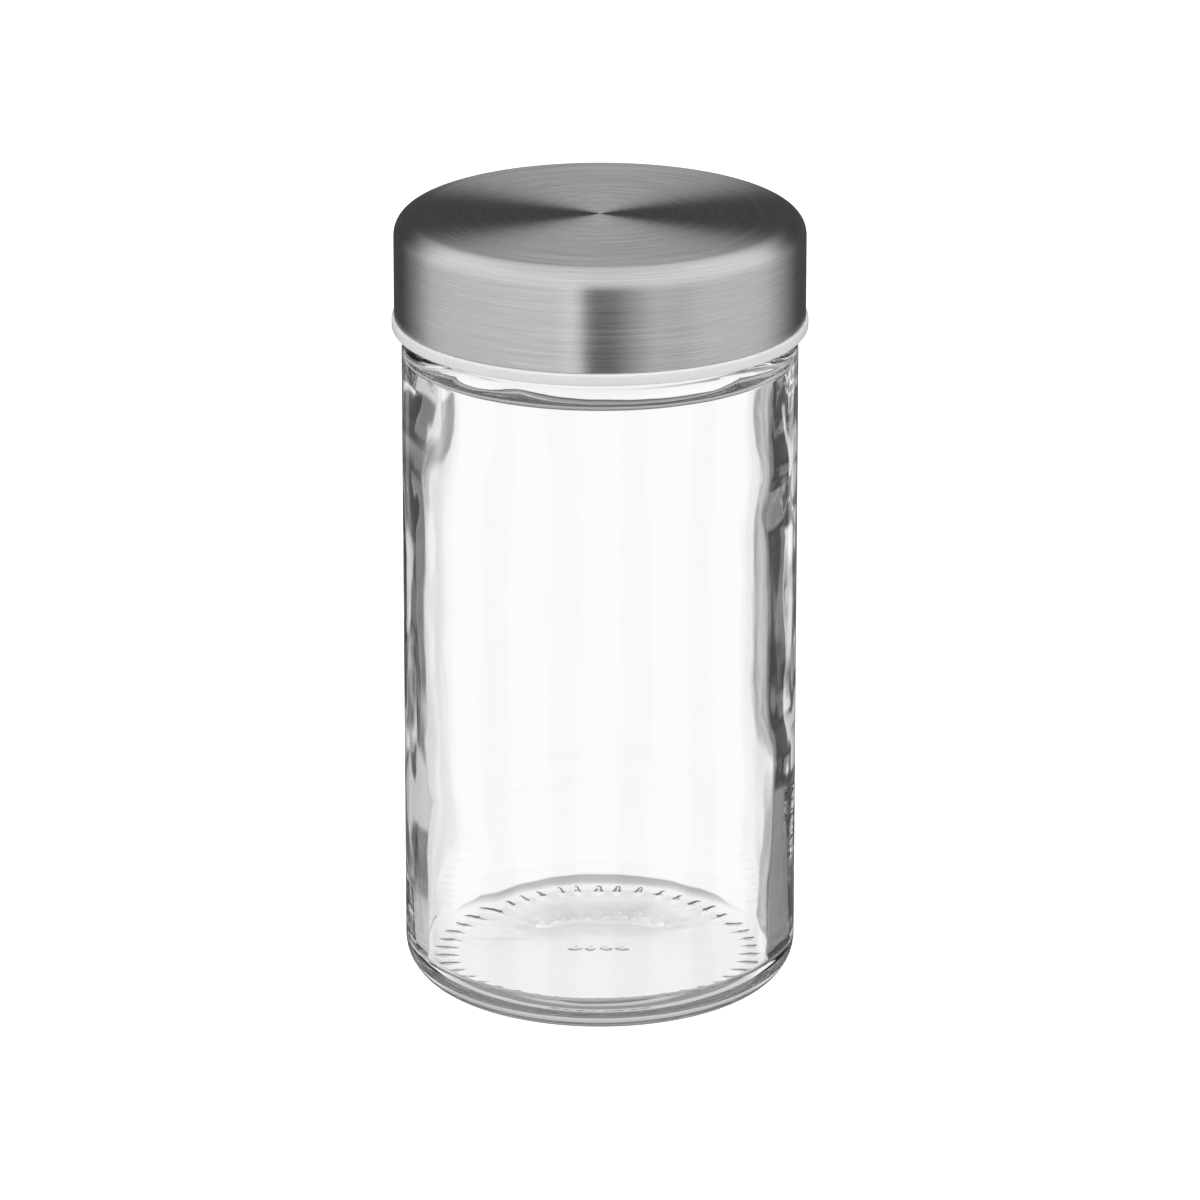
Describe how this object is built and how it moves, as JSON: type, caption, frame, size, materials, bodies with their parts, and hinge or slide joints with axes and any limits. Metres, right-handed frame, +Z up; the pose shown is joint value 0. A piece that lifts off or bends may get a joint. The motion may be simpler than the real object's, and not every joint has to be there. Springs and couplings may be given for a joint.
{
  "type": "spice jar",
  "caption": "Clear round glass spice jar with a multi-start screw neck and a brushed steel lid over a translucent screw insert with a sealing ring.",
  "frame": {"origin": "middle of the base, on the surface that the jar stands on", "axes": "+Z up along the jar's axis, through the lid; the jar is round, so +X and +Y only fix where the screw ridges start"},
  "size_m": [0.0518, 0.0518, 0.1],
  "materials": {
    "clear_glass": "clear pressed soda-lime glass with a fire-polished surface",
    "seal_silicone": "soft translucent silicone, satin",
    "insert_plastic": "translucent polypropylene, satin as moulded",
    "brushed_steel": "stainless steel with fine brush lines round the axis"
  },
  "bodies": {
    "jar": {"glass_jar": "clear_glass"},
    "seal": {"seal_ring": "seal_silicone"},
    "lid": {"screw_insert": "insert_plastic", "steel_cap": "brushed_steel"}
  },
  "joints": [
    {"name": "lid_lift", "type": "slide", "parent": "jar", "child": "seal", "axis": [0, 0, 1], "range_m": [0, 0.018]},
    {"name": "lid_turn", "type": "hinge", "parent": "seal", "child": "lid", "pos_m": [0, 0, 0.09], "axis": [0, 0, 1], "range_deg": [0, 540]}
  ],
  "couplings": [
    {"joint": "lid_lift", "follows": "lid_turn", "m_per_rad": 0.0019099}
  ]
}
